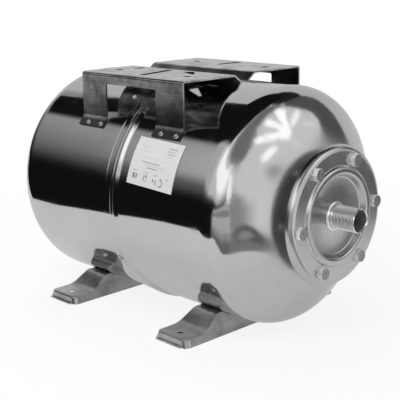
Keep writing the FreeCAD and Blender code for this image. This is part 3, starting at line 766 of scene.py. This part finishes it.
def makeWeldTree():
    tree, sockets, make, given = newTree("spot welds", "Welds", {
        "places": ("Geometry", "Places", None),
        "radius": ("Float", "Ring Radius", 0.003),
        "height": ("Float", "Ring Height", 0.0004),
        "angle": ("Float", "Lean From Top", 0.9),
        "finish": ("Material", "Finish", None),
    })
    disc = make.add("GeometryNodeMeshGrid", {}, {
        "Size X": 1.0, "Size Y": 1.0,
        "Vertices X": spotWelds["segments"] + 1, "Vertices Y": spotWelds["rows"] + 1})
    across, along, flat = make.split(make.add("GeometryNodeInputPosition"))
    angle = (across + 0.5) * (2 * math.pi)
    part = along + 0.5
    swell = make.math("SINE", part * part * math.pi) * spotWelds["swell"]
    swell = swell + (1 - part) * spotWelds["middle"] - part * spotWelds["rim"]
    reach = given["radius"] * part * spotWelds["spread"]
    side = reach * make.math("SINE", angle)
    shaped = make.join(reach * make.math("COSINE", angle), side, given["height"] * swell)
    dimple = make.add("GeometryNodeSetPosition", {}, {0: disc, "Position": shaped})
    dimple = make.add("GeometryNodeMergeByDistance", {}, {0: dimple, "Distance": mergeDistance})
    spotY = make.split(make.add("GeometryNodeInputPosition"))[1]
    lean = make.math("SIGN", spotY) * given["angle"] * -1
    copies = make.add("GeometryNodeInstanceOnPoints", {}, {
        "Points": given["places"], "Instance": dimple, "Rotation": make.join(lean, 0.0, 0.0)})
    endTree(make, copies, given["finish"])
    return tree, sockets


def bracketWelds(finish):
    lean = math.radians(spotWelds["angle"])
    reach = spotWelds["radius"]
    y = reach * math.sin(lean) - spotWelds["above"] * math.cos(lean)
    z = tank["axisHeight"] + reach * math.cos(lean) + spotWelds["above"] * math.sin(lean)
    places = []
    for side, row in ((-1, "near"), (1, "far")):
        places += [((x + tank["middle"]) * mm, side * y * mm, z * mm) for x in spotWelds[row]]
    piece = meshPiece("spotWelds", places)
    runTree(piece, *makeWeldTree(), {
        "radius": spotWelds["ring"] * mm, "height": spotWelds["height"] * mm,
        "angle": lean, "finish": finish})
    shade(piece, 60)
    return piece


# The studio. Cards and flags show in the metal only. A card is an outline in degrees of azimuth and
# elevation, seen from the front head. Its edge fades over a share of its size.
headPlace = Vector((0.17, 0, axisZ))
cards = {
    "mainSoftbox": {"distance": 4.0, "level": 1.5, "fade": 0.45, "outline": (
        (-100, 34), (-98, 52), (-90, 61), (-76, 60), (-67, 46), (-48, 32), (-26, 28), (-18, 20), (-28, 8),
        (-50, 5), (-68, 10), (-84, 24))},
    "softboxHalo": {"distance": 4.2, "level": 0.78, "fade": 0.3, "outline": (
        (-112, 10), (-116, 58), (-92, 66), (-72, 62), (-54, 46), (-34, 34), (-18, 27), (-16, 10), (-30, 1),
        (-60, 1), (-80, 7))},
    "sideSpill": {"distance": 4.4, "level": 0.6, "fade": 0.4, "outline": (
        (-158, 36), (-152, 50), (-128, 58), (-100, 66), (-84, 62), (-84, 12), (-105, 8), (-125, 11),
        (-146, 15))},
    "frontGrey": {"distance": 4.6, "level": 0.22, "fade": 0.5, "outline": (
        (-80, 44), (-72, 68), (0, 84), (80, 82), (84, 48), (40, 30), (0, 26), (-26, 16), (-56, 28))},
    "cornerShade": {"distance": 3.6, "level": 0.38, "fade": 0.35, "outline": (
        (-36, -18), (-38, 2), (-28, 12), (-10, 12), (-6, -6), (-10, -18))},
    "lampScreen": {"distance": 3.4, "level": 0.88, "fade": 0.17, "outline": (
        (-19, -10), (-22, 3), (-30, 8), (-30, 18), (-24, 26), (-16, 31), (-8, 38), (4, 48), (20, 53),
        (38, 52), (49, 48), (58, 43), (66, 34), (65, 24), (58, 17), (48, 12), (62, 4), (42, -8), (0, -9))},
    "streak": {"distance": 3.3, "level": 1.6, "fade": 0.5, "outline": (
        (-32, 0), (-31, 14), (-29, 24), (-26, 24), (-27, 12), (-28, 0))},
    "lampHub": {"distance": 3.2, "level": 1.7, "fade": 0.5, "outline": (
        (18, 32), (20, 38), (30, 41), (37, 38), (35, 32), (28, 28))},
    "petalLeft": {"distance": 3.2, "level": 1.7, "fade": 0.35, "outline": (
        (-4, 36), (-4, 41), (12, 40), (26, 37), (27, 33), (12, 34))},
    "petalUpLeft": {"distance": 3.2, "level": 1.7, "fade": 0.4, "outline": (
        (11, 46), (16, 49), (23, 48), (31, 38), (27, 34), (20, 41))},
    "petalUpRight": {"distance": 3.2, "level": 1.75, "fade": 0.4, "outline": (
        (29, 35), (30, 46), (33, 51), (41, 50), (45, 46), (39, 41), (34, 35))},
    "petalRight": {"distance": 3.2, "level": 1.5, "fade": 0.6, "outline": (
        (32, 33), (34, 38), (46, 40), (57, 40), (57, 36), (45, 35))},
    "petalLowLeft": {"distance": 3.2, "level": 1.6, "fade": 0.45, "outline": (
        (-4, 22), (-2, 28), (8, 32), (17, 32), (17, 28), (6, 24))},
    "petalLow": {"distance": 3.2, "level": 1.15, "fade": 0.6, "outline": (
        (28, 30), (31, 31), (38, 16), (36, 14))},
    "petalLowRight": {"distance": 3.2, "level": 1.1, "fade": 0.6, "outline": (
        (44, 32), (46, 34), (59, 27), (58, 24))},
    "screenShade": {"distance": 3.25, "level": 0.42, "fade": 0.8, "outline": (
        (-5, 17), (0, 23), (10, 22), (18, 17), (27, 14), (24, 7), (12, 7), (2, 9))},
    "sideFlag": {"distance": 3.0, "level": 0.11, "fade": 0.08, "outline": (
        (50, 12), (57, 19), (63, 26), (63, 33), (56, 42), (46, 48), (60, 54), (72, 46), (76, 36), (81, 28),
        (84, 16), (82, 2), (60, 4))},
    "archFlag": {"distance": 2.9, "level": 0.02, "fade": 0.25, "outline": (
        (40, 51), (52, 46), (62, 42), (72, 37), (82, 41), (92, 46), (104, 49), (116, 53), (126, 62),
        (118, 72), (56, 72), (42, 62))},
    "backCard": {"distance": 5.0, "level": 0.66, "fade": 0.12, "outline": (
        (70, -5), (70, 36), (90, 56), (130, 66), (172, 56), (178, 30), (172, -5))},
    "lowShade": {"distance": 0.185, "level": 0.14, "fade": 0.45, "place": (0.195, -0.08, 0.13), "outline": (
        (-44, -18), (-37, -7), (-27, -3), (-14, -8), (0, -17), (18, -26), (14, -31), (-6, -28), (-20, -24),
        (-34, -25))},
    "lowGlow": {"distance": 0.18, "level": 0.36, "fade": 0.6, "place": (0.195, -0.08, 0.13), "outline": (
        (-36, -18), (-28, -10), (-17, -12), (-8, -19), (-20, -24), (-32, -24))},
}
# A grey wall round the front and the near side, black at its foot
room = {"radius": 7.0, "top": 6.5, "from": 150, "to": 414, "sides": 40, "stops": (
    (0.0, 0.01), (0.06, 0.012), (0.13, 0.04), (0.24, 0.13), (0.36, 0.26), (0.6, 0.42), (1.0, 0.30))}
# Upright walls on the floor: a line along their foot, how high they are solid and where they end.
# Their level is even, follows the height ("stops") or brightens along y ("dim").
walls = {
    "nearFlag": {
        "line": ((-1.40, -0.25), (-0.434, -0.289), (-0.370, -0.290), (-0.335, -0.322), (-0.300, -0.352),
                 (-0.280, -0.405), (-0.262, -0.438), (-0.215, -0.450), (0.0, -0.455), (0.19, -0.448),
                 (0.31, -0.445)),
        "level": 0.008, "solid": 0.165, "top": 0.27, "endFrom": 0.2, "endTo": 0.31},
    "frontRail": {
        "line": ((0.25, -0.47), (0.29, -0.40), (0.308, -0.31), (0.32, -0.24), (0.345, -0.205)),
        "stops": ((0.0, 0.18), (0.24, 0.20), (0.30, 0.37), (0.42, 0.40), (0.47, 0.56), (0.73, 0.60),
                  (0.77, 0.30), (0.85, 0.32), (0.89, 0.60)),
        "solid": 0.16, "top": 0.18},
    "whiteBoard": {
        "line": ((0.40, -0.23), (0.44, -0.12), (0.45, 0.0), (0.43, 0.10)),
        "level": 0.93, "solid": 0.15, "top": 0.2, "dim": 0.36, "dimAt": -0.20, "brightAt": -0.10},
    "lowRail": {
        "line": ((0.345, -0.205), (0.379, -0.165), (0.394, -0.12), (0.392, -0.05), (0.36, 0.0), (0.33, 0.04)),
        "level": 0.26, "solid": 0.045, "top": 0.062},
    "flangeFlag": {
        "line": ((0.70, 0.16), (0.58, 0.34), (0.42, 0.52)),
        "level": 0.13, "solid": 0.14, "top": 0.17},
}
overheadFlag = {
    "height": 0.95, "level": 0.008, "edgeFrom": -0.60, "edgeTo": -0.48, "edgeTurn": 0.086,
    "outline": ((-1.4, -0.6), (0.22, -0.66), (0.38, -0.2), (0.38, 0.15), (0.30, 0.40), (-0.10, 0.42),
                (-0.60, 0.25), (-1.05, -0.05), (-1.4, -0.10)),
}
floorTone = {"half": 30, "camera": 0.86, "glossyShare": 0.6, "glossy": 0.75, "fadeFrom": 0.35, "fadeTo": 0.9,
             "matte": 0.84, "underFoot": 0.03, "inset": 0.003}
worldLight = 0.55
lamps = {
    "keyLamp": {"azimuth": -66, "elevation": 48, "distance": 1.5, "size": 0.9, "watts": 12},
    "topLamp": {"azimuth": 150, "elevation": 62, "distance": 1.5, "size": 0.9, "watts": 8},
}


def onlyInMetal(card):
    for use in ("camera", "diffuse", "transmission", "volume_scatter", "shadow"):
        setattr(card, "visible_" + use, False)


# A glowing finish with a see-through edge. makeParts gives its strength and how solid it is.
def glowFinish(name, makeParts):
    material, make = newFinish(name)
    strength, solid = makeParts(make)
    glow = make.add("ShaderNodeEmission", {}, {"Strength": strength})
    clear = make.add("ShaderNodeBsdfTransparent")
    mixed = make.add("ShaderNodeMixShader", {}, {0: solid, 1: clear, 2: glow})
    make.add("ShaderNodeOutputMaterial", {}, {0: mixed})
    return material


def stagePiece(name, corners, faces, material):
    piece = meshPiece(name, corners, faces=faces)
    piece.data.materials.append(material)
    return piece


def towards(azimuth, elevation):
    a, e = math.radians(azimuth), math.radians(elevation)
    return Vector((math.cos(a) * math.cos(e), math.sin(a) * math.cos(e), math.sin(e)))


# A card bent round the tank: a ring of its outline, a solid ring inside it and its middle
def placedCard(name, outline, distance, level, fade, place=headPlace):
    count = len(outline)
    middle = [sum(corner[k] for corner in outline) / count for k in (0, 1)]
    inner = [[m + (c - m) * (1 - fade) for m, c in zip(middle, corner)] for corner in outline]
    half = [[m + (c - m) * (1 - fade) * 0.5 for m, c in zip(middle, corner)] for corner in outline]
    corners = [Vector(place) + towards(*corner) * distance for corner in [*outline, *inner, *half, middle]]
    faces = []
    for k in range(count):
        after = (k + 1) % count
        faces.append((k, after, count + after, count + k))
        faces.append((count + k, count + after, 2 * count + after, 2 * count + k))
        faces.append((2 * count + k, 2 * count + after, 3 * count))

    def parts(make):
        solid = make.add("ShaderNodeAttribute", {"attribute_name": "solid"}, {}, 2)
        return level, make.step(solid, 0.0, 1.0)

    card = stagePiece(name, corners, faces, glowFinish(name, parts))
    attribute = card.data.attributes.new("solid", "FLOAT", "POINT")
    for index, value in enumerate([0.0] * count + [1.0] * (2 * count + 1)):
        attribute.data[index].value = value
    onlyInMetal(card)


# An upright wall that stands just above the floor on a line
def standingWall(name, line, top, makeParts):
    foot = 0.0005
    corners, faces = [], []
    for step, (x, y) in enumerate(line):
        corners += [(x, y, foot), (x, y, top)]
        if step:
            faces.append((2 * step - 2, 2 * step, 2 * step + 1, 2 * step - 1))
    onlyInMetal(stagePiece(name, corners, faces, glowFinish(name, makeParts)))


# A level that follows the height, as a number and not a colour
def levelOver(make, height, top, stops):
    return make.add("ShaderNodeValToRGB", {"stops": stops}, {0: height / top}) * 1.0


def roomParts(make):
    return levelOver(make, make.split(make.place())[2], room["radius"], room["stops"]), 1.0


def wallParts(make, wall):
    x, y, z = make.split(make.place())
    solid = 1 - make.step(z, wall["solid"], wall["top"])
    if "endFrom" in wall:
        solid = (1 - make.step(x, wall["endFrom"], wall["endTo"])) * solid
    if "stops" in wall:
        return levelOver(make, z, wall["top"], wall["stops"]), solid
    if "dim" in wall:
        bright = make.step(y, wall["dimAt"], wall["brightAt"])
        return wall["dim"] + (wall["level"] - wall["dim"]) * bright, solid
    return wall["level"], solid


def makeWalls():
    line = []
    for step in range(room["sides"] + 1):
        turn = (room["to"] - room["from"]) * step / room["sides"]
        out = towards(room["from"] + turn, 0) * room["radius"]
        line.append((out.x, out.y))
    standingWall("roomWall", line, room["top"], roomParts)
    for name, wall in walls.items():
        standingWall(name, wall["line"], wall["top"], lambda make: wallParts(make, wall))


def flagParts(make):
    x, y, z = make.split(make.place())
    edge = y + x * overheadFlag["edgeTurn"]
    return overheadFlag["level"], make.step(edge, overheadFlag["edgeFrom"], overheadFlag["edgeTo"])


def makeOverheadFlag():
    outline = [(x, y, overheadFlag["height"]) for x, y in overheadFlag["outline"]]
    onlyInMetal(stagePiece("overheadFlag", outline, [tuple(range(len(outline)))],
                           glowFinish("overheadFlag", flagParts)))


# The pale floor is white to the camera, keeps part of its shading for the tank's shadow, and is a
# little greyer in the metal
def makeFloor():
    material, make = newFinish("floor")
    paths = make.add("ShaderNodeLightPath")
    glossy = Socket(make, paths.socket.node.outputs["Is Glossy Ray"])
    x, y, z = make.split(make.place())
    away = make.step(make.math("SQRT", x * x + y * y), floorTone["fadeFrom"], floorTone["fadeTo"])
    # painted shade: through the front foot's holes the floor is painted nearly black, as it lies in shade
    low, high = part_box("front_foot")
    inset = floorTone["inset"]
    under = abs(x - (low[0] + high[0]) / 2) < (high[0] - low[0]) / 2 - inset
    under = under * (abs(y) < high[1] - inset)
    toCamera = floorTone["camera"] + (1 - floorTone["camera"]) * away
    share = paths * toCamera * (1 - under) + glossy * floorTone["glossyShare"]
    glow = make.add("ShaderNodeEmission", {}, {"Strength": 1 - glossy * (1 - floorTone["glossy"])})
    tone = make.mixGrey(under, floorTone["matte"], floorTone["underFoot"])
    matte = make.add("ShaderNodeBsdfDiffuse", {}, {"Color": tone})
    mixed = make.add("ShaderNodeMixShader", {}, {0: share, 1: matte, 2: glow})
    make.add("ShaderNodeOutputMaterial", {}, {0: mixed})
    half = floorTone["half"]
    corners = [(-half, -half, 0), (half, -half, 0), (half, half, 0), (-half, half, 0)]
    stagePiece("floor", corners, [(0, 1, 2, 3)], material)


# The world is white to the camera and in metal and glass, and lights the tank with less
def makeWorld():
    world = bpy.data.worlds.new("world")
    world.use_nodes = True
    world.node_tree.nodes.clear()
    make = Nodes(world.node_tree)
    paths = make.add("ShaderNodeLightPath")
    outputs = paths.socket.node.outputs
    seen = paths + Socket(make, outputs["Is Glossy Ray"]) + Socket(make, outputs["Is Transmission Ray"])
    white = make.math("MINIMUM", seen, 1.0)
    strength = worldLight + white * (1 - worldLight)
    back = make.add("ShaderNodeBackground", {}, {"Color": (1, 1, 1, 1), "Strength": strength})
    make.add("ShaderNodeOutputWorld", {}, {0: back})
    scene.world = world


def makeLamps():
    for name, lamp in lamps.items():
        data = bpy.data.lights.new(name, "AREA")
        data.shape = "SQUARE"
        data.size = lamp["size"]
        data.energy = lamp["watts"]
        piece = linked(name, data)
        out = towards(lamp["azimuth"], lamp["elevation"])
        piece.location = Vector((0, 0, axisZ)) + out * lamp["distance"]
        piece.rotation_mode = "QUATERNION"
        piece.rotation_quaternion = out.to_track_quat("Z", "Y")
        piece.visible_glossy = False
        piece.visible_camera = False


def keep(node, material):
    mesh = nodes[node].data
    mesh.materials.clear()
    mesh.materials.append(material)


def standFor(piece, slot, *replaced):
    if replaced:
        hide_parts(*replaced)
    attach(piece, "root")


makeCamera()
print("camera made")
turning = makeTurningTree()
shellSteel = turnedSteel("shell steel", polishedLook["front"])
flangeSteel = turnedSteel("flange steel", polishedLook["flange"])
nippleSteel = turnedSteel("nipple steel", polishedLook["nipple"])
ringSteel = turnedSteel("ring steel", polishedLook["ring"])
bracketSteel = sheetSteel("bracket steel", sheetLook["bracket"])
footSteel = sheetSteel("foot steel", sheetLook["foot"])
print("finishes made")

standFor(frontShell(shellSteel), "shell_steel", "front_shell")
standFor(rearShell(shellSteel), "shell_steel", "rear_shell")
print("shell halves made")
standFor(counterflange(flangeSteel), "flange_steel", "counterflange")
standFor(portNipple(nippleSteel), "nipple_steel", "port_nipple")
boltNodes = ["flange_bolt_%d" % (index + 1) for index in range(bolts["count"])]
standFor(flangeBolts(smallFinish("bolt steel", smallLook["bolt"])), "bolt_steel", *boltNodes)
standFor(bracketWelds(smallFinish("spot weld steel", smallLook["spotWeld"])), "bracket_steel")
print("flange, port, bolts and spot welds made")

keep("neck_ring", ringSteel)
for side in ("near", "far"):
    keep(side + "_pump_bracket", bracketSteel)
for end in ("front", "rear"):
    keep(end + "_foot", footSteel)
for node, finishName, look in (
        ("membrane", "membrane rubber", "membrane"), ("air_valve_boss", "boss steel", "boss"),
        ("air_valve_seal", "seal rubber", "seal"), ("air_valve_body", "valve brass", "brass"),
        ("air_valve_core", "core brass", "core"), ("air_valve_cap", "cap plastic", "cap")):
    keep(node, smallFinish(finishName, smallLook[look]))
keep("data_label", labelFilm())
print("finishes set on the carried-over nodes")

makeFloor()
for name, card in cards.items():
    placedCard(name, **card)
makeWalls()
makeOverheadFlag()
makeWorld()
makeLamps()
scene.view_settings.view_transform = "Standard"
print("studio made")
